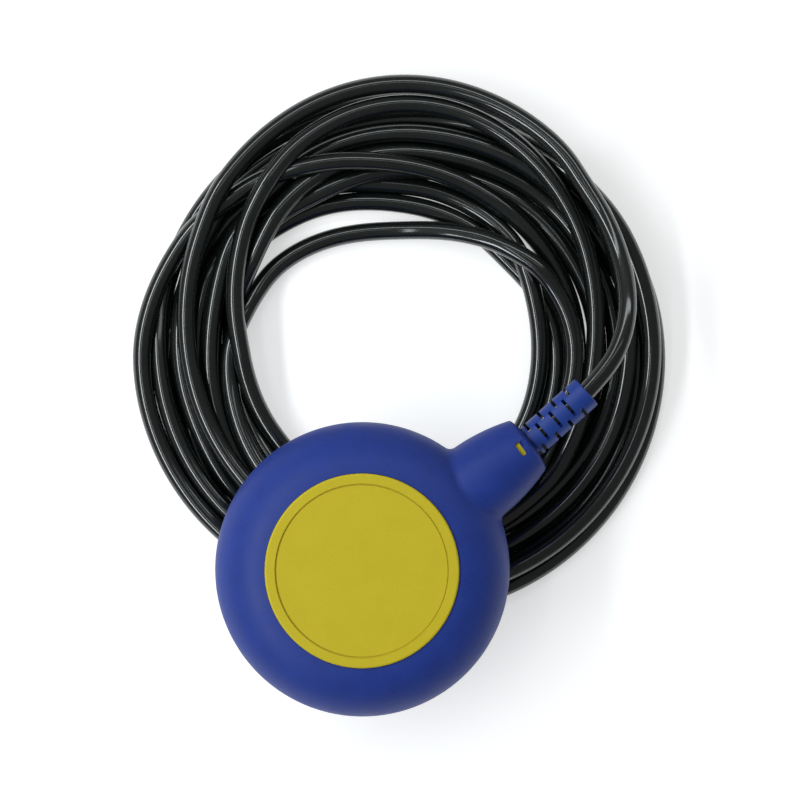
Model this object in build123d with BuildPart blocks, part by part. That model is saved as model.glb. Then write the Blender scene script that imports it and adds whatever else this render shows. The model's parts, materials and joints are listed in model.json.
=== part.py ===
"""Tethered float switch for a sump pump, lying on its own coiled cable.

Frame: +Z up, +X along the cable outlet, origin on the surface that the coil lies on,
straight below the axis of the round float. Millimetres.
"""

from build123d import *
import math
import os

os.makedirs("parts", exist_ok=True)

# ---- driving dimensions ----
CABLE_R = 3.25
CORE_R = 1.2
GAP = 0.1  # between fixed pieces that only locate each other
FIT = 0.05  # round a cable, strip or screw in its own hole
PIN_PLAY = 0.06  # round a pivot pin

COIL_H = 20.0
COIL_CENTRE = (56.8, 54.0)
COIL_OUTER_R = 95.0
COIL_OPENING_CENTRE = (52.0, 47.6)  # the inner strands lie off-centre
COIL_OPENING_R = 45.0
COIL_EDGE_R = 3.0

CASE_R = 33.15  # sealed inner case, whose two round faces show
CASE_HALF_H = 20.0
CASE_WALL = 3.0
CASE_END_WALL = 2.7
CASE_RIM_W = 3.4
CASE_RECESS = 0.45
CASE_GROOVE_W, CASE_GROOVE_H = 0.6, 0.35  # round the edge of the recess
CASE_EDGE_R = 0.7

SHELL_R = 50.6  # outer float
SHELL_HALF_H = 19.2
SHELL_FLAT_R = 30.0
SHELL_WALL = 2.4

SPIGOT_FLANK = ((36.0, 13.4), (56.0, 13.9), (71.3, 10.3))  # x and radius at root, swell and shoulder
SPIGOT_NOSE = ((72.3, 5.5), (72.7, 0.0))
SPIGOT_EDGE_R = 1.4
SPIGOT_ROOT_FILLET = 3.0
THROAT_R = 4.8  # way out for the strain relief
WINDOW_PLACE = (68.1, 0.4)  # snap window on top of the spigot
WINDOW_L, WINDOW_W = 5.1, 1.8
LUG_Z0, LUG_H = 7.0, 3.2  # the case's lug that shows in the window
POCKET_XS, POCKET_YS, POCKET_Z = (69.2, 71.0), (0.9, 2.7), 10.0  # shallow mark beside the window
BEND_X = 71.0  # the strain relief leans from here on
BEND_ANGLE = 5.0
BEND_R = 30.0
BOOT_R = 5.95
BOOT_START = 2.1  # from BEND_X, along the leaning axis
BOOT_END = 27.3
SLOT_W = 1.15
SLOT_PITCH = 3.03
SLOT_COUNT = 7
SLOT_HALF_ANGLES = (58.0, 38.0)  # of the slots at the sides, and of those above and below
SLOT_REACH = 8.0  # clears the boot
BORE_FIT = 0.12  # round the cable in the strain relief

BALL_R = 9.0
BALL_X = -14.0  # at rest, at the end away from the cable
BALL_Y = -12.0
BALL_TRAVEL = 24.0
BALL_PLAY = 0.35
CAGE_WALL = 1.6
CAGE_POST_R = 4.0
CAGE_WINDOW_XS, CAGE_WINDOW_HALF_H = (-15.6, 14.5), 4.6  # where the ball reaches the lever

LEVER_X, LEVER_Y = -13.0, -0.2  # lever pivot
LEVER_PER_MM = 0.005  # radians of lever for each mm that the ball rolls
LEVER_PLAY = 0.3
LEVER_T = 0.8
LEVER_HALF_W = 2.5
LEVER_EYE_R = 1.3
LEVER_WEB, LEVER_WEB_AT = 2.4, (0.1, -1.2)  # joins the eye to the lever, from the pivot
LEVER_STATIONS = (1.5, 13.0, 25.0)  # ball travel where the lever's root, middle and tip lie
PIN_R = 0.6
PIN_HALF_L = 3.6
PIN_GRIP = 0.02  # round the pin where the switch's ears hold it
EAR_R, EAR_Z = 1.6, 2.7  # the switch's ears on the pin, and their distance from the middle
EAR_WEB, EAR_WEB_AT = (2.6, 2.0), (0.3, 1.0)

SWITCH_X0, SWITCH_X1 = -14.0, 13.8
SWITCH_Y0, SWITCH_Y1 = 1.5, 17.4
SWITCH_HALF_H = 5.15
SWITCH_COVER_T = 1.5
CHAMBER_Y1 = 9.0
CHAMBER_WALL = 1.6
CHAMBER_END_WALL = 1.4
CHAMBER_FLOOR = -3.7
SWITCH_SCREWS = ((-8.5, 14.0), (10.0, 14.0))
SCREW_R = 1.5
SCREW_HEAD_R, SCREW_HEAD_H = 2.5, 1.0
SCREW_TIP_Z, SCREW_HOLE_Z = -12.5, -13.3
POST_R = 3.2

PLUNGER_X = -8.0
PLUNGER_R = 1.5
PLUNGER_BORE_R = 1.58
PLUNGER_TIP_R = 0.6
PLUNGER_GAP = 0.25  # to the lever, and to the blade
PLUNGER_STATION = 6.3  # ball travel where the lever's middle faces the plunger
BLADE_X, BLADE_Y = 4.0, 5.2
BLADE_T = 0.4
BLADE_HALF_W = 1.8
BLADE_HUB_R = 1.6
BLADE_X0, BLADE_X1 = -11.3, 3.1
BLADE_CONTACT_X, BLADE_CONTACT = -10.6, (1.8, 1.4)
POST_PIN_R = 0.8  # pivot post of the common terminal
POST_PIN_HALF_L, POST_ARM_Z = 3.3, 2.1
TERMINAL_XS = (-12.0, -5.0, 5.8)  # normally closed, normally open, common
TERMINAL_T = 0.6
TERMINAL_HALF_W = 2.0
TERMINAL_ROOT_Y, TAB_END_Y = 8.0, 23.5
# The bent strips inside the switch, which carry the fixed contacts: from x, to x, from y, to y.
NC_STRIPS = ((-12.3, -11.7, 3.3, 8.1), (-11.8, -9.9, 3.3, 4.3))
NO_STRIPS = ((-11.3, -4.7, 7.4, 8.1), (-11.3, -9.9, 6.8, 7.5))
POST_ARM_Y1 = 8.2
SLEEVE_Y0, SLEEVE_Y1 = 18.4, 24.8
SLEEVE_HALF_T, SLEEVE_HALF_W = 1.1, 2.6

NECK_R = 8.6
NECK_END_X = 69.6
NECK_BORES = ((25.0, 50.0, 5.0), (46.0, 61.0, 6.6), (61.0, 63.8, 7.6), (63.0, 70.0, 6.0))
# Each barrel-shaped piece round the cable, as above: from x, to x, radius.
POTTING = (31.0, 45.0, 4.95)
GLAND_SEAL = (50.0, 59.5, 6.5)
WASHER = (59.6, 60.9, 6.45)
RELIEF_FLANGE = (61.1, 63.7, 7.4)
RELIEF_SHANK = (63.0, NECK_END_X, 5.9)
RELIEF_NECK_R = 4.5  # where it bends, inside the throat
SHEATH_END_X = 23.5
CLAMP_X0, CLAMP_X1 = 24.4, 28.4
CLAMP_HALF_Y = 7.0
CLAMP_TOP, CLAMP_FACE, CLAMP_SEAT = 5.2, -0.6, -1.0
CLAMP_SCREW_Y, CLAMP_SCREW_R = 5.2, 1.1
CLAMP_SCREW_TIP_Z, CLAMP_HOLE_Z = -9.0, -9.2
CLAMP_HEAD_R, CLAMP_HEAD_H = 1.7, 1.4

FERRULE_R = 0.75
FERRULE_L = 8.0
COLLAR_R = 1.7
COLLAR_L = 6.0
TAIL_CORE_L = 10.0
TAIL_HEADING = -45.0  # degrees from +X, of the bare end
TAIL_SPREAD = 4.2
TAIL_CORE_Z = 1.75
CORE_LEAD_OUT = 2.8  # straight run at each end of a bare core

# ---- derived ----
Z_MID = COIL_H + CASE_HALF_H  # the float's middle plane
CAVITY_R = CASE_R - CASE_WALL
CAVITY_HALF_H = CASE_HALF_H - CASE_END_WALL
MID = Plane.XY.offset(Z_MID)
BACK_XZ = Plane(origin=(0, 0, Z_MID), x_dir=(-1, 0, 0), z_dir=(0, 1, 0))
SIDE_XZ = Plane(origin=(0, 0, Z_MID), x_dir=(1, 0, 0), z_dir=(0, -1, 0))
OUTLET_AXIS = Axis((0, 0, Z_MID), (1, 0, 0))


def level(z):
    """Horizontal plane at a height above the float's middle plane."""
    return Plane.XY.offset(Z_MID + z)


def across(x):
    """Plane across the outlet at x, with its own x along +Y and its own y up."""
    return Plane(origin=(x, 0, Z_MID), x_dir=(0, 1, 0), z_dir=(1, 0, 0))


def leaning(distance):
    """Plane across the leaning part of the strain relief, a distance beyond the bend."""
    turn = math.radians(BEND_ANGLE)
    along = Vector(math.cos(turn), math.sin(turn), 0)
    origin = Vector(BEND_X, 0, Z_MID) + along * distance
    return Plane(origin=origin, x_dir=(-along.Y, along.X, 0), z_dir=along)


def save(piece, name):
    piece.part.label = name
    export_step(piece.part, f"parts/{name}.step")


def rod(plane, radius, length, mode=Mode.ADD):
    """A round rod, or a round hole, that starts on a plane."""
    with BuildSketch(plane) as section:
        Circle(radius)
    extrude(section.sketch, amount=length, mode=mode)


def block(x0, x1, y0, y1, z0, z1, mode=Mode.ADD):
    """A block between coordinates, with its heights from the float's middle plane."""
    with BuildSketch(level(z0)) as section:
        with Locations(((x0 + x1) / 2, (y0 + y1) / 2)):
            Rectangle(x1 - x0, y1 - y0)
    extrude(section.sketch, amount=z1 - z0, mode=mode)


def barrel(shape, mode=Mode.ADD):
    """A round rod, or a bore, along the outlet: from x, to x, radius."""
    start, end, radius = shape
    rod(across(start), radius, end - start, mode)


def ring(outer_r, inner_r, z0, z1, mode=Mode.ADD):
    """A flat ring, or an annular groove, about the float's axis."""
    with BuildSketch(level(z0)) as section:
        Circle(outer_r)
        Circle(inner_r, mode=Mode.SUBTRACT)
    extrude(section.sketch, amount=z1 - z0, mode=mode)


def posts(places, radius, z0, z1, mode=Mode.ADD):
    """Upright round posts, or holes, at several places."""
    with BuildSketch(level(z0)) as section:
        with Locations(*places):
            Circle(radius)
    extrude(section.sketch, amount=z1 - z0, mode=mode)


def corner_radii(points):
    """The largest radius that each corner of a cord's route has room for."""
    places = [Vector(*point) for point in points]
    radii = []
    for before, here, after in zip(places, places[1:], places[2:]):
        turn = math.radians((here - before).get_angle(after - here))
        shorter = min((here - before).length, (after - here).length)
        radii.append(0.45 * shorter / math.tan(turn / 2))
    return radii


def cord(name, points, radius):
    """A plain tube along straight runs joined by tangent arcs."""
    radii = corner_radii(points)
    with BuildPart() as piece:
        with BuildLine() as route:
            FilletPolyline(*points, radius=radii)
        path = route.wire()
        with BuildSketch(Plane(origin=path @ 0, z_dir=path % 0)):
            Circle(radius)
        sweep(path=path)
    save(piece, name)
    expected = math.pi * radius**2 * path.length
    print(name, "radii", [round(r, 1) for r in radii], "length", round(path.length, 1), end=" ")
    print("volume over section times length", round(piece.part.volume / expected, 4))


# ---- outer float shells ----


def shell_outside():
    """The round float and its outlet spigot as one solid form."""
    with BuildSketch(BACK_XZ) as puck:
        with BuildLine():
            rim = EllipticalCenterArc(
                (SHELL_FLAT_R, 0),
                SHELL_R - SHELL_FLAT_R,
                SHELL_HALF_H,
                start_angle=-90,
                arc_size=180,
            )
            Polyline(rim @ 1, (0, SHELL_HALF_H), (0, -SHELL_HALF_H), rim @ 0)
        make_face()
    revolve(puck.sketch, axis=Axis.Z)
    with BuildSketch(SIDE_XZ) as spigot:
        with BuildLine():
            flank = ThreePointArc(*SPIGOT_FLANK)
            nose = ThreePointArc(flank @ 1, *SPIGOT_NOSE)
            Polyline(nose @ 1, (SPIGOT_FLANK[0][0], 0), flank @ 0)
        make_face()
        fillet(vertices().sort_by(Axis.X)[-2], SPIGOT_EDGE_R)
    revolve(spigot.sketch, axis=OUTLET_AXIS)
    middle = SHELL_R - SPIGOT_ROOT_FILLET
    root = [e for e in edges() if 0 < middle - e.center().X < 7 and abs(e.center().Y) < 20]
    fillet(root, SPIGOT_ROOT_FILLET)


def round_room(clearance):
    """Half the section of the space inside the float, with a clearance all round."""
    with BuildSketch(BACK_XZ) as room:
        with BuildLine():
            rim = EllipticalCenterArc(
                (SHELL_FLAT_R, 0),
                SHELL_R - SHELL_FLAT_R - SHELL_WALL - clearance,
                SHELL_HALF_H - SHELL_WALL - clearance,
                start_angle=-90,
                arc_size=180,
            )
            Polyline(rim @ 1, (0, (rim @ 1).Y), (0, (rim @ 0).Y), rim @ 0)
        make_face()
    return room.sketch


def shell_inside():
    """Room for the foam, the case, its neck and the strain relief."""
    revolve(round_room(0), axis=Axis.Z, mode=Mode.SUBTRACT)
    posts([(0, 0)], CASE_R + GAP, -SHELL_HALF_H, SHELL_HALF_H, Mode.SUBTRACT)
    barrel((SHELL_FLAT_R, NECK_END_X + GAP, NECK_R + GAP), Mode.SUBTRACT)
    barrel((NECK_END_X, SHELL_R + SHELL_FLAT_R, THROAT_R), Mode.SUBTRACT)


with BuildPart() as upper_shell:
    shell_outside()
    shell_inside()
    with BuildSketch(MID):
        with Locations(WINDOW_PLACE):
            SlotOverall(WINDOW_L, WINDOW_W, rotation=90)
    extrude(amount=SHELL_HALF_H, mode=Mode.SUBTRACT)
    block(*POCKET_XS, *POCKET_YS, POCKET_Z, SHELL_HALF_H, Mode.SUBTRACT)
    split(bisect_by=MID, keep=Keep.TOP)
save(upper_shell, "upper_shell")

with BuildPart() as lower_shell:
    shell_outside()
    shell_inside()
    split(bisect_by=MID, keep=Keep.BOTTOM)
save(lower_shell, "lower_shell")

with BuildPart() as foam_ring:
    revolve(round_room(GAP), axis=Axis.Z)
    posts([(0, 0)], CASE_R + 2 * GAP, -SHELL_HALF_H, SHELL_HALF_H, Mode.SUBTRACT)
    barrel((SHELL_FLAT_R, NECK_END_X, NECK_R + 2 * GAP), Mode.SUBTRACT)
save(foam_ring, "foam_ring")

# ---- sealed inner case ----
CAGE_POSTS = ((BALL_X, BALL_Y), (BALL_X + BALL_TRAVEL, BALL_Y))
CAGE_HALF_H = BALL_R + BALL_PLAY + CAGE_WALL
SEAL_R = CASE_R - CASE_WALL / 2
SEAL_CORD_R = 0.7
NECK_X = CAVITY_R + 0.45
SEAL_OPENING = 5.1  # half the width of the seal's break at the neck


def case_body():
    """Both halves of the case and its neck, before they are parted."""
    posts([(0, 0)], CASE_R, -CASE_HALF_H, CASE_HALF_H)
    fillet(edges().filter_by(GeomType.CIRCLE), CASE_EDGE_R)
    recess_r = CASE_R - CASE_RIM_W
    recess_z = CASE_HALF_H - CASE_RECESS
    groove_z = recess_z - CASE_GROOVE_H
    posts([(0, 0)], recess_r, recess_z, CASE_HALF_H, Mode.SUBTRACT)
    posts([(0, 0)], recess_r, -CASE_HALF_H, -recess_z, Mode.SUBTRACT)
    ring(recess_r, recess_r - CASE_GROOVE_W, groove_z, recess_z, Mode.SUBTRACT)
    ring(recess_r, recess_r - CASE_GROOVE_W, -recess_z, -groove_z, Mode.SUBTRACT)
    posts([(0, 0)], CAVITY_R, -CAVITY_HALF_H, CAVITY_HALF_H, Mode.SUBTRACT)
    barrel((NECK_X, NECK_END_X, NECK_R))
    for bore in NECK_BORES:
        barrel(bore, Mode.SUBTRACT)
    groove = SEAL_CORD_R + GAP
    ring(SEAL_R + groove, SEAL_R - groove, -groove, groove, Mode.SUBTRACT)


with BuildPart() as upper_case:
    case_body()
    with BuildSketch(level(LUG_Z0)):
        with Locations(WINDOW_PLACE):
            SlotOverall(WINDOW_L - 2 * GAP, WINDOW_W - 2 * GAP, rotation=90)
    extrude(amount=LUG_H)
    barrel(NECK_BORES[-1], Mode.SUBTRACT)
    posts(CAGE_POSTS, CAGE_POST_R, CAGE_HALF_H, CAVITY_HALF_H + GAP)
    split(bisect_by=MID, keep=Keep.TOP)
save(upper_case, "upper_case")

with BuildPart() as lower_case:
    case_body()
    posts(CAGE_POSTS, CAGE_POST_R, -CAVITY_HALF_H - GAP, -CAGE_HALF_H)
    posts(SWITCH_SCREWS, POST_R, -CAVITY_HALF_H - GAP, -SWITCH_HALF_H)
    posts(SWITCH_SCREWS, SCREW_R + FIT, SCREW_HOLE_Z, -SWITCH_HALF_H, Mode.SUBTRACT)
    block(CLAMP_X0, CLAMP_X1, -CLAMP_HALF_Y, CLAMP_HALF_Y, -CAVITY_HALF_H - GAP, CLAMP_SEAT)
    barrel((SHEATH_END_X, POTTING[1], CABLE_R + FIT), Mode.SUBTRACT)
    clamp_screws_at = [((CLAMP_X0 + CLAMP_X1) / 2, y) for y in (-CLAMP_SCREW_Y, CLAMP_SCREW_Y)]
    posts(clamp_screws_at, CLAMP_SCREW_R + FIT, CLAMP_HOLE_Z, CLAMP_SEAT, Mode.SUBTRACT)
    split(bisect_by=MID, keep=Keep.BOTTOM)
save(lower_case, "lower_case")

with BuildPart() as case_seal:
    with BuildSketch(BACK_XZ):
        with Locations((SEAL_R, 0)):
            Circle(SEAL_CORD_R)
    revolve(axis=Axis.Z)
    block(0, CASE_R, -SEAL_OPENING, SEAL_OPENING, -SEAL_CORD_R, SEAL_CORD_R, Mode.SUBTRACT)
save(case_seal, "case_seal")

# ---- ball and its cage ----
CAGE_X = BALL_X + BALL_TRAVEL / 2


def round_the_ball(radius, z0, z1, mode=Mode.ADD):
    """A block with a slot-shaped outline round the ball's whole travel."""
    with BuildSketch(level(z0)) as section:
        with Locations((CAGE_X, BALL_Y)):
            SlotCenterToCenter(BALL_TRAVEL, 2 * radius)
    extrude(section.sketch, amount=z1 - z0, mode=mode)


with BuildPart() as ball_cage:
    round_the_ball(CAGE_HALF_H, -CAGE_HALF_H, CAGE_HALF_H - CAGE_WALL)
    round_the_ball(BALL_R + BALL_PLAY, -BALL_R - BALL_PLAY, CAGE_HALF_H, Mode.SUBTRACT)
    half = CAGE_WINDOW_HALF_H
    block(*CAGE_WINDOW_XS, BALL_Y + BALL_R / 2, 0, -half, half, Mode.SUBTRACT)
save(ball_cage, "ball_cage")

with BuildPart() as cage_cover:
    round_the_ball(CAGE_HALF_H, CAGE_HALF_H - CAGE_WALL, CAGE_HALF_H)
save(cage_cover, "cage_cover")

with BuildPart() as steel_ball:
    with Locations((BALL_X, BALL_Y, Z_MID)):
        Sphere(BALL_R)
save(steel_ball, "steel_ball")

# ---- actuating lever ----


def under_lever(rolled, away):
    """Where the ball's far side is in the lever's own frame, a distance away from the ball.

    The lever turns in step with the ball, so the ball's centre follows a shallow curve
    in the lever's frame, and the lever's underside runs parallel to that curve.
    """
    turned = LEVER_PER_MM * rolled
    x, y = BALL_X + rolled - LEVER_X, BALL_Y - LEVER_Y
    c, s = math.cos(turned), math.sin(turned)
    centre = Vector(x * c + y * s, y * c - x * s)
    slope = Vector(
        c + LEVER_PER_MM * (y * c - x * s), -s - LEVER_PER_MM * (x * c + y * s)
    ).normalized()
    offset = Vector(-slope.Y, slope.X) * (BALL_R + LEVER_PLAY + away)
    return Vector(LEVER_X, LEVER_Y) + centre + offset


with BuildPart() as actuating_lever:
    with BuildSketch(level(-LEVER_HALF_W)):
        with BuildLine():
            below = ThreePointArc(*[under_lever(s, 0) for s in LEVER_STATIONS])
            above = ThreePointArc(*[under_lever(s, LEVER_T) for s in LEVER_STATIONS])
            Line(below @ 0, above @ 0)
            Line(below @ 1, above @ 1)
        make_face()
        with Locations((LEVER_X, LEVER_Y)):
            Circle(LEVER_EYE_R)
            with Locations(LEVER_WEB_AT):
                Rectangle(LEVER_WEB, LEVER_WEB)
            Circle(PIN_R + PIN_PLAY, mode=Mode.SUBTRACT)
    extrude(amount=2 * LEVER_HALF_W)
save(actuating_lever, "actuating_lever")

with BuildPart() as lever_pin:
    posts([(LEVER_X, LEVER_Y)], PIN_R, -PIN_HALF_L, PIN_HALF_L)
save(lever_pin, "lever_pin")

# ---- microswitch ----
BASE_TOP = SWITCH_HALF_H - SWITCH_COVER_T
CHAMBER_X0, CHAMBER_X1 = SWITCH_X0 + CHAMBER_END_WALL, SWITCH_X1 - CHAMBER_WALL
LEVER_TOP = under_lever(PLUNGER_STATION, LEVER_T).Y

with BuildPart() as microswitch_base:
    block(SWITCH_X0, SWITCH_X1, SWITCH_Y0, SWITCH_Y1, -SWITCH_HALF_H, BASE_TOP)
    chamber_y0 = SWITCH_Y0 + CHAMBER_WALL
    block(CHAMBER_X0, CHAMBER_X1, chamber_y0, CHAMBER_Y1, CHAMBER_FLOOR, BASE_TOP, Mode.SUBTRACT)
    for x in TERMINAL_XS:
        half = TERMINAL_T / 2 + FIT
        low = -TERMINAL_HALF_W - FIT
        block(x - half, x + half, TERMINAL_ROOT_Y, TAB_END_Y, low, BASE_TOP, Mode.SUBTRACT)
    with BuildSketch(Plane(origin=(PLUNGER_X, 0, Z_MID), x_dir=(1, 0, 0), z_dir=(0, 1, 0))):
        Circle(PLUNGER_BORE_R)
    extrude(amount=BLADE_Y, mode=Mode.SUBTRACT)
    posts(SWITCH_SCREWS, SCREW_R + FIT, -SWITCH_HALF_H, BASE_TOP, Mode.SUBTRACT)
    for z0, z1 in ((EAR_Z, BASE_TOP), (-BASE_TOP, -EAR_Z)):
        with BuildSketch(level(z0)):
            with Locations((LEVER_X, LEVER_Y)):
                Circle(EAR_R)
                with Locations(EAR_WEB_AT):
                    Rectangle(*EAR_WEB)
                Circle(PIN_R + PIN_GRIP, mode=Mode.SUBTRACT)
        extrude(amount=z1 - z0)
save(microswitch_base, "microswitch_base")

with BuildPart() as microswitch_cover:
    block(SWITCH_X0, SWITCH_X1, SWITCH_Y0, SWITCH_Y1, BASE_TOP, SWITCH_HALF_H)
    posts(SWITCH_SCREWS, SCREW_R + FIT, BASE_TOP, SWITCH_HALF_H, Mode.SUBTRACT)
save(microswitch_cover, "microswitch_cover")

with BuildPart() as plunger:
    tip_y = LEVER_TOP + PLUNGER_GAP
    facing_y = Plane(origin=(PLUNGER_X, tip_y, Z_MID), x_dir=(1, 0, 0), z_dir=(0, 1, 0))
    rod(facing_y, PLUNGER_R, BLADE_Y - BLADE_T / 2 - PLUNGER_GAP - tip_y)
    fillet(edges().group_by(Axis.Y)[0], PLUNGER_TIP_R)
save(plunger, "plunger")

with BuildPart() as contact_blade:
    with BuildSketch(level(-BLADE_HALF_W)):
        with Locations((BLADE_X, BLADE_Y)):
            Circle(BLADE_HUB_R)
        with Locations(((BLADE_X0 + BLADE_X1) / 2, BLADE_Y)):
            Rectangle(BLADE_X1 - BLADE_X0, BLADE_T)
        with Locations((BLADE_CONTACT_X, BLADE_Y)):
            Rectangle(*BLADE_CONTACT)
        with Locations((BLADE_X, BLADE_Y)):
            Circle(POST_PIN_R + PIN_PLAY, mode=Mode.SUBTRACT)
    extrude(amount=2 * BLADE_HALF_W)
save(contact_blade, "contact_blade")


def terminal(x, strips=()):
    """The upright strip of a terminal, out through the back of the switch, and its bent strips."""
    half = TERMINAL_T / 2
    for outline in ((x - half, x + half, TERMINAL_ROOT_Y, TAB_END_Y), *strips):
        block(*outline, -TERMINAL_HALF_W, TERMINAL_HALF_W)


with BuildPart() as nc_terminal:
    terminal(TERMINAL_XS[0], NC_STRIPS)
save(nc_terminal, "nc_terminal")

with BuildPart() as no_terminal:
    terminal(TERMINAL_XS[1], NO_STRIPS)
save(no_terminal, "no_terminal")

with BuildPart() as common_terminal:
    terminal(TERMINAL_XS[2])
    posts([(BLADE_X, BLADE_Y)], POST_PIN_R, -POST_PIN_HALF_L, POST_PIN_HALF_L)
    arm_x1 = TERMINAL_XS[2] + TERMINAL_T / 2
    arm = (BLADE_X - POST_PIN_R, arm_x1, BLADE_Y - POST_PIN_R, POST_ARM_Y1)
    block(*arm, POST_ARM_Z, POST_PIN_HALF_L)
    block(*arm, -POST_PIN_HALF_L, -POST_ARM_Z)
    bridge = (arm_x1 - TERMINAL_T, arm_x1, TERMINAL_ROOT_Y - FIT, POST_ARM_Y1)
    block(*bridge, -POST_PIN_HALF_L, POST_PIN_HALF_L)
save(common_terminal, "common_terminal")

with BuildPart() as switch_screws:
    posts(SWITCH_SCREWS, SCREW_R, SCREW_TIP_Z, SWITCH_HALF_H)
    posts(SWITCH_SCREWS, SCREW_HEAD_R, SWITCH_HALF_H, SWITCH_HALF_H + SCREW_HEAD_H)
save(switch_screws, "switch_screws")

with BuildPart() as terminal_sleeves:
    for x in TERMINAL_XS:
        half_t, half_w = SLEEVE_HALF_T, SLEEVE_HALF_W
        block(x - half_t, x + half_t, SLEEVE_Y0, SLEEVE_Y1, -half_w, half_w)
        half_t, half_w = TERMINAL_T / 2 + FIT, TERMINAL_HALF_W + FIT
        block(x - half_t, x + half_t, 0, TAB_END_Y + FIT, -half_w, half_w, Mode.SUBTRACT)
save(terminal_sleeves, "terminal_sleeves")

# ---- leads inside the case, from each terminal to the sheath's end ----
CORE_ROUTES = {
    "core_brown": [
        (-12.0, 22.0, 2.6),
        (-12.0, 22.0, 11.6),
        (-4.5, 18.0, 14.3),
        (8.0, 9.8, 14.3),
        (15.2, 5.0, 11.5),
        (18.8, 1.6, 5.2),
        (SHEATH_END_X, 0.0, 1.5),
    ],
    "core_black": [
        (-5.0, 22.0, 2.6),
        (-5.0, 22.0, 9.0),
        (0.5, 17.0, 11.2),
        (9.2, 8.0, 11.0),
        (15.2, 0.3, 7.0),
        (18.6, -1.6, 1.6),
        (SHEATH_END_X, -1.3, -0.75),
    ],
    "core_blue": [
        (5.8, 22.0, 2.6),
        (5.8, 22.0, 7.2),
        (8.3, 17.6, 8.6),
        (12.6, 10.0, 8.3),
        (16.6, 5.2, 5.0),
        (19.6, 2.0, 0.6),
        (SHEATH_END_X, 1.3, -0.75),
    ],
}
for name, route_points in CORE_ROUTES.items():
    cord(name, [(x, y, Z_MID + z) for x, y, z in route_points], CORE_R)

# ---- cable entry ----
with BuildPart() as cable_clamp:
    block(CLAMP_X0, CLAMP_X1, -CLAMP_HALF_Y, CLAMP_HALF_Y, CLAMP_FACE, CLAMP_TOP)
    barrel((CLAMP_X0, CLAMP_X1, CABLE_R + FIT), Mode.SUBTRACT)
    posts(clamp_screws_at, CLAMP_SCREW_R + FIT, CLAMP_SEAT, CLAMP_TOP, Mode.SUBTRACT)
save(cable_clamp, "cable_clamp")

with BuildPart() as clamp_screws:
    posts(clamp_screws_at, CLAMP_SCREW_R, CLAMP_SCREW_TIP_Z, CLAMP_TOP)
    posts(clamp_screws_at, CLAMP_HEAD_R, CLAMP_TOP, CLAMP_TOP + CLAMP_HEAD_H)
save(clamp_screws, "clamp_screws")

with BuildPart() as potting:
    barrel(POTTING)
    barrel((POTTING[0], POTTING[1], CABLE_R + FIT), Mode.SUBTRACT)
save(potting, "potting")

with BuildPart() as gland_seal:
    barrel(GLAND_SEAL)
    chamfer(edges().filter_by(GeomType.CIRCLE), 0.8)
    barrel((GLAND_SEAL[0], GLAND_SEAL[1], CABLE_R + FIT), Mode.SUBTRACT)
save(gland_seal, "gland_seal")

with BuildPart() as gland_washer:
    barrel(WASHER)
    barrel((WASHER[0], WASHER[1], CABLE_R + 3 * FIT), Mode.SUBTRACT)
save(gland_washer, "gland_washer")


def bent_rod(start_x, end, radius, mode=Mode.ADD):
    """A round rod, or a bore, along the outlet and on along the leaning part."""
    with BuildLine() as route:
        FilletPolyline(
            (start_x, 0, Z_MID), (BEND_X, 0, Z_MID), leaning(end).origin, radius=[BEND_R]
        )
    with BuildSketch(across(start_x)) as section:
        Circle(radius)
    sweep(section.sketch, path=route.wire(), mode=mode)


with BuildPart() as strain_relief:
    barrel(RELIEF_FLANGE)
    barrel(RELIEF_SHANK)
    bent_rod(RELIEF_SHANK[0], BOOT_START + 1, RELIEF_NECK_R)
    rod(leaning(BOOT_START), BOOT_R, BOOT_END - BOOT_START)
    fillet(edges().filter_by(GeomType.CIRCLE).sort_by(Axis.X)[-1], 0.5)
    bent_rod(WASHER[0], BOOT_END + 3, CABLE_R + BORE_FIT, Mode.SUBTRACT)
    for i in range(SLOT_COUNT):
        half_w = SLOT_REACH * math.tan(math.radians(SLOT_HALF_ANGLES[i % 2]))
        turned = 0 if i % 2 else 90
        with BuildSketch(leaning(BOOT_START + SLOT_W + i * SLOT_PITCH)):
            for side in (0, 180):
                with Locations(Rotation(0, 0, turned + side)):
                    Polygon((0, 0), (half_w, SLOT_REACH), (-half_w, SLOT_REACH), align=None)
        extrude(amount=SLOT_W, mode=Mode.SUBTRACT)
save(strain_relief, "strain_relief")

boot_tip = leaning(BOOT_END).origin
with BuildPart() as cable_entry:
    bent_rod(SHEATH_END_X, BOOT_END, CABLE_R)
save(cable_entry, "cable_entry")

# ---- free cable ----
LEAD_ROUTE = [
    tuple(boot_tip),
    (108.5, 4.2, 40.0),
    (118.4, 8.8, 38.5),
    (126.7, 16.0, 35.3),
    (132.9, 25.2, 30.8),
    (137.4, 35.9, 26.1),
    (140.3, 47.6, 22.9),
    (141.2, 59.9, 21.4),
]
cord("cable_lead", LEAD_ROUTE, CABLE_R)


with BuildPart() as cable_coil:
    with BuildSketch():
        with Locations(COIL_CENTRE):
            Circle(COIL_OUTER_R)
        with Locations(COIL_OPENING_CENTRE):
            Circle(COIL_OPENING_R, mode=Mode.SUBTRACT)
    extrude(amount=COIL_H)
    fillet(edges().filter_by(GeomType.CIRCLE), COIL_EDGE_R)
save(cable_coil, "cable_coil")

TAIL_ROUTE = [
    (-25.8, 31.9, CABLE_R),
    (-27.6, 17.3, CABLE_R),
    (-25.4, 0.8, CABLE_R),
    (-18.0, -14.6, CABLE_R),
    (-7.4, -25.2, CABLE_R),
]
cord("cable_tail", TAIL_ROUTE, CABLE_R)

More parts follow.
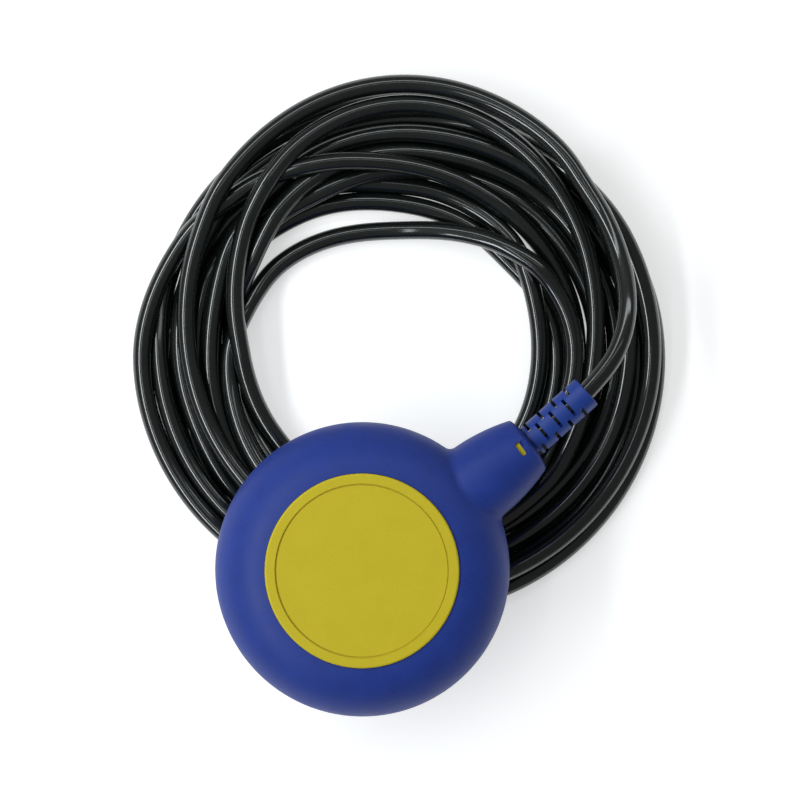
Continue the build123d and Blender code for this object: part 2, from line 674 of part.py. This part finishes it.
# ---- bare end: three cores, each in a ferrule ----
heading = math.radians(TAIL_HEADING)
AHEAD = Vector(math.cos(heading), math.sin(heading), 0)
BESIDE = Vector(-AHEAD.Y, AHEAD.X, 0)
TAIL_END = Vector(*TAIL_ROUTE[-1])
TAIL_CORES = {  # sideways and up in the sheath, and sideways at the ferrule
    "tail_core_brown": (1.3, -0.75, TAIL_SPREAD),
    "tail_core_black": (0.0, 1.5, 0.0),
    "tail_core_blue": (-1.3, -0.75, -TAIL_SPREAD),
}
ferrule_starts = []
for name, (sideways, up, spread) in TAIL_CORES.items():
    start = TAIL_END + BESIDE * sideways + Vector(0, 0, up)
    finish = TAIL_END + AHEAD * TAIL_CORE_L + BESIDE * spread
    finish = Vector(finish.X, finish.Y, TAIL_CORE_Z)
    ferrule_starts.append(finish)
    lead_out = AHEAD * CORE_LEAD_OUT
    cord(name, [start, start + lead_out, finish - lead_out, finish], CORE_R)

with BuildPart() as ferrule_collars:
    for start in ferrule_starts:
        rod(Plane(origin=start, z_dir=AHEAD), COLLAR_R, COLLAR_L)
save(ferrule_collars, "ferrule_collars")

with BuildPart() as ferrule_pins:
    for start in ferrule_starts:
        rod(Plane(origin=start + AHEAD * COLLAR_L, z_dir=AHEAD), FERRULE_R, FERRULE_L)
save(ferrule_pins, "ferrule_pins")
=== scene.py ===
"""Looks of the tethered float switch, which lies on its own coiled cable."""

import json
import math

import bpy
import numpy as np
from mathutils import Euler, Matrix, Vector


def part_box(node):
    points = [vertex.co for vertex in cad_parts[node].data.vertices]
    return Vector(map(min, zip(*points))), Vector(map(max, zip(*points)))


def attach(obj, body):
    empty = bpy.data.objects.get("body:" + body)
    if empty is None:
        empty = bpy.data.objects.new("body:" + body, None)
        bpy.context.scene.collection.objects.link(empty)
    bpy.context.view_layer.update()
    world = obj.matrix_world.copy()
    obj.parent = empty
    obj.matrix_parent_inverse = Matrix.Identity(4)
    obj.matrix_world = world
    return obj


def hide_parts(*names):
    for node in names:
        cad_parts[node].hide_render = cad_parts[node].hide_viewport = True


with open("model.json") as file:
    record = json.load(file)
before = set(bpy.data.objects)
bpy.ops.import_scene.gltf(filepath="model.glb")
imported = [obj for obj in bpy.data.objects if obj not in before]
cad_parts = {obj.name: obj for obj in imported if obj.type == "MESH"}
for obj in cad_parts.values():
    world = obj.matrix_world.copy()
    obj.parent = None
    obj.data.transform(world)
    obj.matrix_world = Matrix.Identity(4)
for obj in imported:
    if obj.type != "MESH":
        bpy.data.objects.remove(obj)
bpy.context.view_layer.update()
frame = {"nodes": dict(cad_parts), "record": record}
nodes = frame["nodes"]
MM = 0.001

# ---- cable: places in metres, the turns' distances in millimetres ----
CABLE_D = 0.0065
LEAD = (
    (0.098196, 0.002379, 0.0400),
    (0.1085, 0.0042, 0.0400),
    (0.1184, 0.0088, 0.0385),
    (0.1267, 0.0160, 0.0353),
    (0.1329, 0.0252, 0.0308),
    (0.1374, 0.0359, 0.0261),
    (0.1403, 0.0476, 0.0229),
    (0.1412, 0.0599, 0.0214),
)
TAIL = (
    (-0.0258, 0.0319, 0.00325),
    (-0.0276, 0.0173, 0.00325),
    (-0.0254, 0.0008, 0.00325),
    (-0.0180, -0.0146, 0.00325),
    (-0.0074, -0.0252, 0.00325),
)
COIL_CENTRE = (0.0568, 0.0540)
COIL_FIRST_ANGLE = -37  # degrees, the first of the four directions in TURNS
# Each loose turn's distance from the coil's centre in the first direction and a quarter, a half
# and three quarters of a turn on, top turn first. The turns differ in size and lie off-centre.
TURNS = (
    (80, 91, 74, 70),
    (68, 84, 56, 57),
    (61, 40, 59, 69),
    (62, 63, 89, 87),
    (88, 79, 76, 80),
    (80, 84, 84, 85),
    (84, 75, 67, 71),
    (75, 67, 59, 64),
    (70, 62, 66, 60),
    (50, 57, 71, 66),
    (54, 50, 75, 91),
    (88, 70, 79, 92),
)
DIRECTIONS = len(TURNS[0])
STEP = 10  # degrees between the points of a turn
COIL_START, COIL_END = 50, 11 * 360 + 220  # degrees wound from the top turn's first direction
VISIBLE_TURNS = 4
VISIBLE_HOLD, HIDDEN_HOLD = 0.4, 0.1  # how firmly turns keep their size while they settle
LEAD_DROP, LEAD_SLOPE = 0.9 * MM, 1.9 * MM  # first point below the lead's end, and each next one
FLOAT_GAP = 0.3 * MM  # between the float's underside and the strands under it

ROUNDS, PUSHES = 600, 3  # settling rounds, and how often touching strands are pushed apart in each
START_PITCH = 2 * MM  # height between turns before they settle
SINK = 0.12 * MM  # in each round
STIFFNESS = 0.5
RELAXATION = 1.6  # a strand with several neighbours shares its pushes out


def radius_at(wound):
    """Distance from the coil's centre, in metres, on a smooth curve through those in TURNS."""
    flat = [r for turn in TURNS for r in turn]
    place = wound / 360 * DIRECTIONS
    i = int(place)
    t = place - i
    a, b, c, d = (flat[min(max(i + k, 0), len(flat) - 1)] for k in (-1, 0, 1, 2))
    steady = 2 * b + (c - a) * t
    bending = (2 * a - 5 * b + 4 * c - d) * t**2 + (3 * b - a - 3 * c + d) * t**3
    return (steady + bending) / 2 * MM


def settle(wanted, floor, ceiling, hold):
    """Lets turns wound at these radii sink onto each other, and returns radii and heights.

    Points of different turns that lie in the same direction from the coil's centre are
    compared: each is a disc of the cable's diameter in the upright plane through the centre.
    Gravity pulls them down, touching ones push each other apart, and stiffness evens them out.
    """
    count = len(wanted)
    per_turn = 360 // STEP
    turns = -(-count // per_turn)
    spare = turns * per_turn - count
    real = (np.arange(turns * per_turn) < count).reshape(turns, per_turn)
    above = np.triu(np.ones((turns, turns), bool), 1)[:, :, None]
    pairs = real[:, None] & real[None] & above
    radius = wanted.copy()
    height = floor.min() + (turns - np.arange(count) / per_turn) * START_PITCH

    def by_turn(values):
        return np.append(values, np.zeros(spare)).reshape(turns, per_turn)

    def shared(push, share):
        return ((push.sum(1) - push.sum(0)) * share).ravel()[:count]

    for _ in range(ROUNDS):
        height -= SINK
        radius += hold * (wanted - radius)
        shift = radius - wanted
        radius[1:-1] += STIFFNESS * ((shift[:-2] + shift[2:]) / 2 - shift[1:-1])
        height[1:-1] += STIFFNESS * ((height[:-2] + height[2:]) / 2 - height[1:-1])
        for _ in range(PUSHES):
            r, z = by_turn(radius), by_turn(height)
            outward, upward = r[:, None] - r[None], z[:, None] - z[None]
            apart = np.hypot(outward, upward) + 1e-9
            touching = pairs & (apart < CABLE_D)
            push = np.where(touching, (CABLE_D - apart) / 2 / apart, 0)
            neighbours = touching.sum(1) + touching.sum(0)
            share = RELAXATION / np.maximum(neighbours, RELAXATION)
            radius += shared(push * outward, share)
            height = np.clip(height + shared(push * upward, share), floor, ceiling)
    return radius, height


def coil_points():
    """The turns' points, from the end of the lead down to the start of the tail."""
    wound = np.arange(COIL_START, COIL_END + 1, STEP)
    wanted = np.array([radius_at(w) for w in wound])
    angle = np.radians(wound + COIL_FIRST_ANGLE)
    x = COIL_CENTRE[0] + wanted * np.cos(angle)
    y = COIL_CENTRE[1] + wanted * np.sin(angle)
    order = np.arange(len(wound))
    # The lead comes down onto the pile over the first quarter turn.
    floor = np.maximum(CABLE_D / 2, LEAD[-1][2] - (LEAD_DROP + LEAD_SLOPE * order))
    float_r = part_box("lower_shell")[1].y
    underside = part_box("lower_case")[0].z - CABLE_D / 2 - FLOAT_GAP
    ceiling = np.where(np.hypot(x, y) < float_r + CABLE_D / 2, underside, LEAD[0][2])
    hold = np.where(order < VISIBLE_TURNS * 360 // STEP, VISIBLE_HOLD, HIDDEN_HOLD)
    radius, height = settle(wanted, floor, ceiling, hold)
    radius = radius / math.cos(math.radians(STEP / 2))  # the spline runs inside its points
    x = COIL_CENTRE[0] + radius * np.cos(angle)
    y = COIL_CENTRE[1] + radius * np.sin(angle)
    return list(zip(x, y, height))


def cord_curve(name, points, diameter):
    """A round cord along one smooth open spline."""
    curve = bpy.data.curves.new(name, "CURVE")
    curve.dimensions = "3D"
    curve.bevel_depth = diameter / 2
    curve.bevel_resolution = 6
    curve.resolution_u = 6
    curve.use_fill_caps = True
    spline = curve.splines.new("NURBS")
    spline.points.add(len(points) - 1)
    for point, place in zip(spline.points, points):
        point.co = (*place, 1)
    spline.order_u = 3
    spline.use_endpoint_u = True
    piece = bpy.data.objects.new(name, curve)
    bpy.context.scene.collection.objects.link(piece)
    return piece


# ---- materials ----
class Surface:
    """A material under construction: its node tree, and short ways to add to it."""

    def __init__(self, name, **settings):
        self.material = bpy.data.materials.new(name)
        self.material.use_nodes = True
        self.tree = self.material.node_tree
        self.shader = self.tree.nodes["Principled BSDF"]
        for socket, value in settings.items():
            self.shader.inputs[socket.replace("_", " ")].default_value = value
        self.place = self.node("ShaderNodeTexCoord").outputs["Object"]

    def node(self, kind, **inputs):
        made = self.tree.nodes.new(kind)
        for socket, value in inputs.items():
            self.put(made.inputs[socket.replace("_", " ")], value)
        return made

    def put(self, socket, value):
        if isinstance(value, bpy.types.NodeSocket):
            self.tree.links.new(value, socket)
        else:
            socket.default_value = value

    def noise(self, size, detail=3.0, stretch=(1, 1, 1)):
        """Noise with features of about this size in metres."""
        place = self.node("ShaderNodeMapping", Vector=self.place, Scale=stretch).outputs[0]
        made = self.node("ShaderNodeTexNoise", Vector=place, Scale=1 / size, Detail=detail)
        return made.outputs[0]

    def spread(self, value, low, high, start=0.35, end=0.65):
        """Maps a noise's middle part onto a range."""
        ranged = self.node("ShaderNodeMapRange", Value=value)
        ends = {"From Min": start, "From Max": end, "To Min": low, "To Max": high}
        for socket, number in ends.items():
            ranged.inputs[socket].default_value = number
        return ranged.outputs[0]

    def mix(self, factor, first, second):
        """A colour between two colours, or between a colour and a socket's colour."""
        blend = self.tree.nodes.new("ShaderNodeMix")
        blend.data_type = "RGBA"
        self.put(blend.inputs[0], factor)
        self.put(blend.inputs[6], first)
        self.put(blend.inputs[7], second)
        return blend.outputs[2]

    def bump(self, height, depth, below=None):
        """Relief of this depth in metres, on top of any other relief."""
        relief = self.node("ShaderNodeBump", Height=height, Distance=depth, Strength=1.0)
        if below is not None:
            self.put(relief.inputs["Normal"], below)
        return relief.outputs[0]


def tint(colour, factor):
    return tuple(min(1.0, c * factor) for c in colour) + (1.0,)


def moulded(
    name,
    colour,
    roughness,
    grain=0.7 * MM,
    depth=0.035 * MM,
    patchy=0.06,
    speckle=0.14,
    **settings,
):
    """Moulded plastic or rubber: fine spark-eroded grain, faint flow patches and light rub marks."""
    s = Surface(name, **settings)
    fine, flow = s.noise(grain, 2.0), s.noise(9 * MM, 4.0)
    rubs = s.noise(2.5 * MM, 6.0, stretch=(1.0, 6.0, 1.0))
    worn = s.spread(rubs, 0.0, 1.0, 0.60, 0.72)
    patches = s.mix(s.spread(flow, 0, 1), tint(colour, 1 - patchy), tint(colour, 1 + patchy))
    speckled = s.mix(s.spread(fine, 0, speckle), patches, tint(colour, 1.8))
    rubbed = s.mix(s.spread(worn, 0, 0.05, 0, 1), speckled, tint(colour, 2.0))
    s.put(s.shader.inputs["Base Color"], rubbed)
    s.put(s.shader.inputs["Roughness"], s.spread(flow, roughness - 0.03, roughness + 0.05))
    skin = s.bump(flow, 0.03 * MM)
    s.put(s.shader.inputs["Normal"], s.bump(fine, depth, below=skin))
    return s.material


def drawn_sheath(name, colour, roughness, **settings):
    """Extruded PVC: a glossy skin with faint waviness, handling marks and a little dust."""
    s = Surface(name, **settings)
    skin, fine = s.noise(5 * MM, 3.0), s.noise(0.5 * MM, 3.0)
    dust = s.noise(1.6 * MM, 6.0)
    dusty = s.mix(s.spread(dust, 0, 1, 0.58, 0.80), tint(colour, 1.0), tint(colour, 2.6))
    warm = tuple(c * w for c, w in zip(colour, (1.5, 1.2, 1.0))) + (1.0,)
    s.put(s.shader.inputs["Base Color"], s.mix(s.spread(skin, 0, 0.7), dusty, warm))
    s.put(s.shader.inputs["Roughness"], s.spread(dust, roughness - 0.04, roughness + 0.10))
    waviness = s.bump(skin, 0.03 * MM)
    s.put(s.shader.inputs["Normal"], s.bump(fine, 0.0012 * MM, below=waviness))
    return s.material


def metal(name, colour, roughness, stretch=(1, 1, 1), depth=0.004 * MM, **settings):
    """Bare metal with fine working marks along one direction and slight tarnish."""
    s = Surface(name, Metallic=1.0, **settings)
    marks, tarnish = s.noise(0.3 * MM, 4.0, stretch), s.noise(3 * MM, 5.0)
    tarnished = s.mix(s.spread(tarnish, 0, 1), tint(colour, 0.78), tint(colour, 1.05))
    s.put(s.shader.inputs["Base Color"], tarnished)
    s.put(s.shader.inputs["Roughness"], s.spread(marks, roughness * 0.7, roughness * 1.5))
    s.put(s.shader.inputs["Normal"], s.bump(marks, depth))
    return s.material


def foam(name, colour):
    """Rigid closed-cell foam: a skin of small cells."""
    s = Surface(name, Roughness=0.9)
    cells = s.node("ShaderNodeTexVoronoi", Vector=s.place, Scale=1 / (0.8 * MM)).outputs["Distance"]
    shaded = s.mix(s.spread(cells, 0, 1, 0.0, 0.7), tint(colour, 0.8), tint(colour, 1.0))
    s.put(s.shader.inputs["Base Color"], shaded)
    s.put(s.shader.inputs["Normal"], s.bump(cells, 0.15 * MM))
    return s.material


MATERIALS = {
    "blue_shell": moulded("blue_shell", (0.013, 0.035, 0.225), 0.50, IOR=1.33),
    "yellow_case": moulded(
        "yellow_case", (0.525, 0.420, 0.008), 0.50, patchy=0.015, speckle=0.05, IOR=1.4
    ),
    "blue_boot": moulded(
        "blue_boot", (0.010, 0.038, 0.225), 0.45, grain=0.6 * MM, depth=0.01 * MM, IOR=1.4
    ),
    "black_sheath": drawn_sheath(
        "black_sheath",
        (0.0026, 0.0045, 0.0042),
        0.40,
        Specular_IOR_Level=0.12,
        Coat_Weight=1.0,
        Coat_Roughness=0.10,
        Coat_IOR=1.55,
    ),
    "closed_cell_foam": foam("closed_cell_foam", (0.85, 0.83, 0.76)),
    "seal_rubber": moulded("seal_rubber", (0.012, 0.012, 0.012), 0.6, patchy=0.15),
    "white_nylon": moulded("white_nylon", (0.78, 0.76, 0.70), 0.4, patchy=0.03, Subsurface_Weight=0.15),
    "switch_black": moulded("switch_black", (0.018, 0.018, 0.020), 0.45, patchy=0.10),
    "plunger_red": moulded("plunger_red", (0.42, 0.02, 0.015), 0.35),
    "ball_steel": metal("ball_steel", (0.62, 0.63, 0.65), 0.12, depth=0.001 * MM),
    "spring_steel": metal("spring_steel", (0.50, 0.50, 0.50), 0.28, stretch=(1, 12, 1)),
    "contact_brass": metal("contact_brass", (0.72, 0.50, 0.20), 0.28, stretch=(12, 1, 1)),
    "zinc_screw": metal("zinc_screw", (0.58, 0.60, 0.62), 0.32),
    "sleeve_clear": moulded("sleeve_clear", (0.80, 0.82, 0.80), 0.25, patchy=0.02, Transmission_Weight=0.6),
    "core_brown": drawn_sheath("core_brown", (0.085, 0.030, 0.012), 0.35),
    "core_black": drawn_sheath("core_black", (0.013, 0.013, 0.013), 0.35),
    "core_blue": drawn_sheath("core_blue", (0.020, 0.080, 0.300), 0.35),
    "potting_resin": moulded("potting_resin", (0.035, 0.034, 0.032), 0.25, patchy=0.2),
    "collar_grey": moulded("collar_grey", (0.30, 0.31, 0.32), 0.4),
    "tinned_copper": metal("tinned_copper", (0.66, 0.64, 0.60), 0.3, stretch=(1, 1, 8)),
}

for subpart in frame["record"]["subparts"]:
    shown = nodes[subpart["node"]]
    shown.data.materials.clear()
    shown.data.materials.append(MATERIALS[subpart["material_slot"]])

# ---- the free cable ----
cable = cord_curve("free_cable", [*LEAD, *coil_points(), *TAIL], CABLE_D)
cable.data.materials.append(MATERIALS["black_sheath"])
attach(cable, "float")
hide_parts("cable_lead", "cable_coil", "cable_tail")

# ---- floor, light and camera ----
VIEW_PLACE = (0.04531, 0.03865, 2.0)
VIEW_TURN = -37.0  # degrees
VIEW_WIDTH = 0.272  # at the top of the float
WHITE = (1.0, 1.0, 1.0)
FLOOR_SIZE = 6.0
FLOOR_DARK, FLOOR_LIGHT = 0.72, 0.76  # the floor's mottling
FLOOR_GLOW = 0.5
AMBIENT = 0.2
LAMP_COLOUR = (0.93, 0.98, 1.0)
top_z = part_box("upper_case")[1].z


def make_floor():
    """A plain pale floor that is bright enough to read as white paper."""
    bpy.ops.mesh.primitive_plane_add(size=FLOOR_SIZE, location=(0, 0, 0))
    floor = bpy.context.object
    floor.name = "floor"
    s = Surface("pale_floor", Roughness=0.9, Emission_Strength=FLOOR_GLOW)
    s.shader.inputs["Emission Color"].default_value = tint(WHITE, 1)
    mottled = s.mix(s.spread(s.noise(0.2), 0, 1), tint(WHITE, FLOOR_DARK), tint(WHITE, FLOOR_LIGHT))
    s.put(s.shader.inputs["Base Color"], mottled)
    floor.data.materials.append(s.material)


def area_light(name, place, size, watts):
    """A rectangular light that faces the middle of the object; places are in the view's own axes."""
    turn = math.radians(VIEW_TURN)
    across, up, z = place
    x = VIEW_PLACE[0] + across * math.cos(turn) - up * math.sin(turn)
    y = VIEW_PLACE[1] + across * math.sin(turn) + up * math.cos(turn)
    light = bpy.data.lights.new(name, "AREA")
    light.shape = "RECTANGLE"
    light.size, light.size_y = size
    light.energy = watts
    light.color = LAMP_COLOUR
    lamp = bpy.data.objects.new(name, light)
    lamp.location = (x, y, z)
    tilt = Euler((-math.atan2(up, z), math.atan2(across, math.hypot(up, z)), 0))
    aim = Matrix.Rotation(turn, 3, "Z") @ tilt.to_matrix()
    lamp.rotation_euler = aim.to_euler()
    bpy.context.scene.collection.objects.link(lamp)


make_floor()
area_light("left_strip", (-0.9, -0.05, 1.1), (0.20, 2.0), 17.0)
area_light("top_strip", (0.15, 0.9, 1.1), (2.0, 0.16), 5.5)
area_light("left_fill", (-0.45, -0.1, 1.4), (0.08, 1.0), 1.5)
area_light("top_fill", (0.2, 0.45, 1.4), (1.0, 0.08), 0.7)

world = bpy.data.worlds.new("studio")
world.use_nodes = True
background = world.node_tree.nodes["Background"]
background.inputs["Color"].default_value = tint(WHITE, 1)
background.inputs["Strength"].default_value = AMBIENT
bpy.context.scene.world = world
bpy.context.scene.view_settings.view_transform = "Standard"

camera = bpy.data.objects.new("camera", bpy.data.cameras.new("camera"))
camera.location = VIEW_PLACE
camera.rotation_euler = (0, 0, math.radians(VIEW_TURN))
camera.data.lens = camera.data.sensor_width * (VIEW_PLACE[2] - top_z) / VIEW_WIDTH
bpy.context.scene.collection.objects.link(camera)
bpy.context.scene.camera = camera
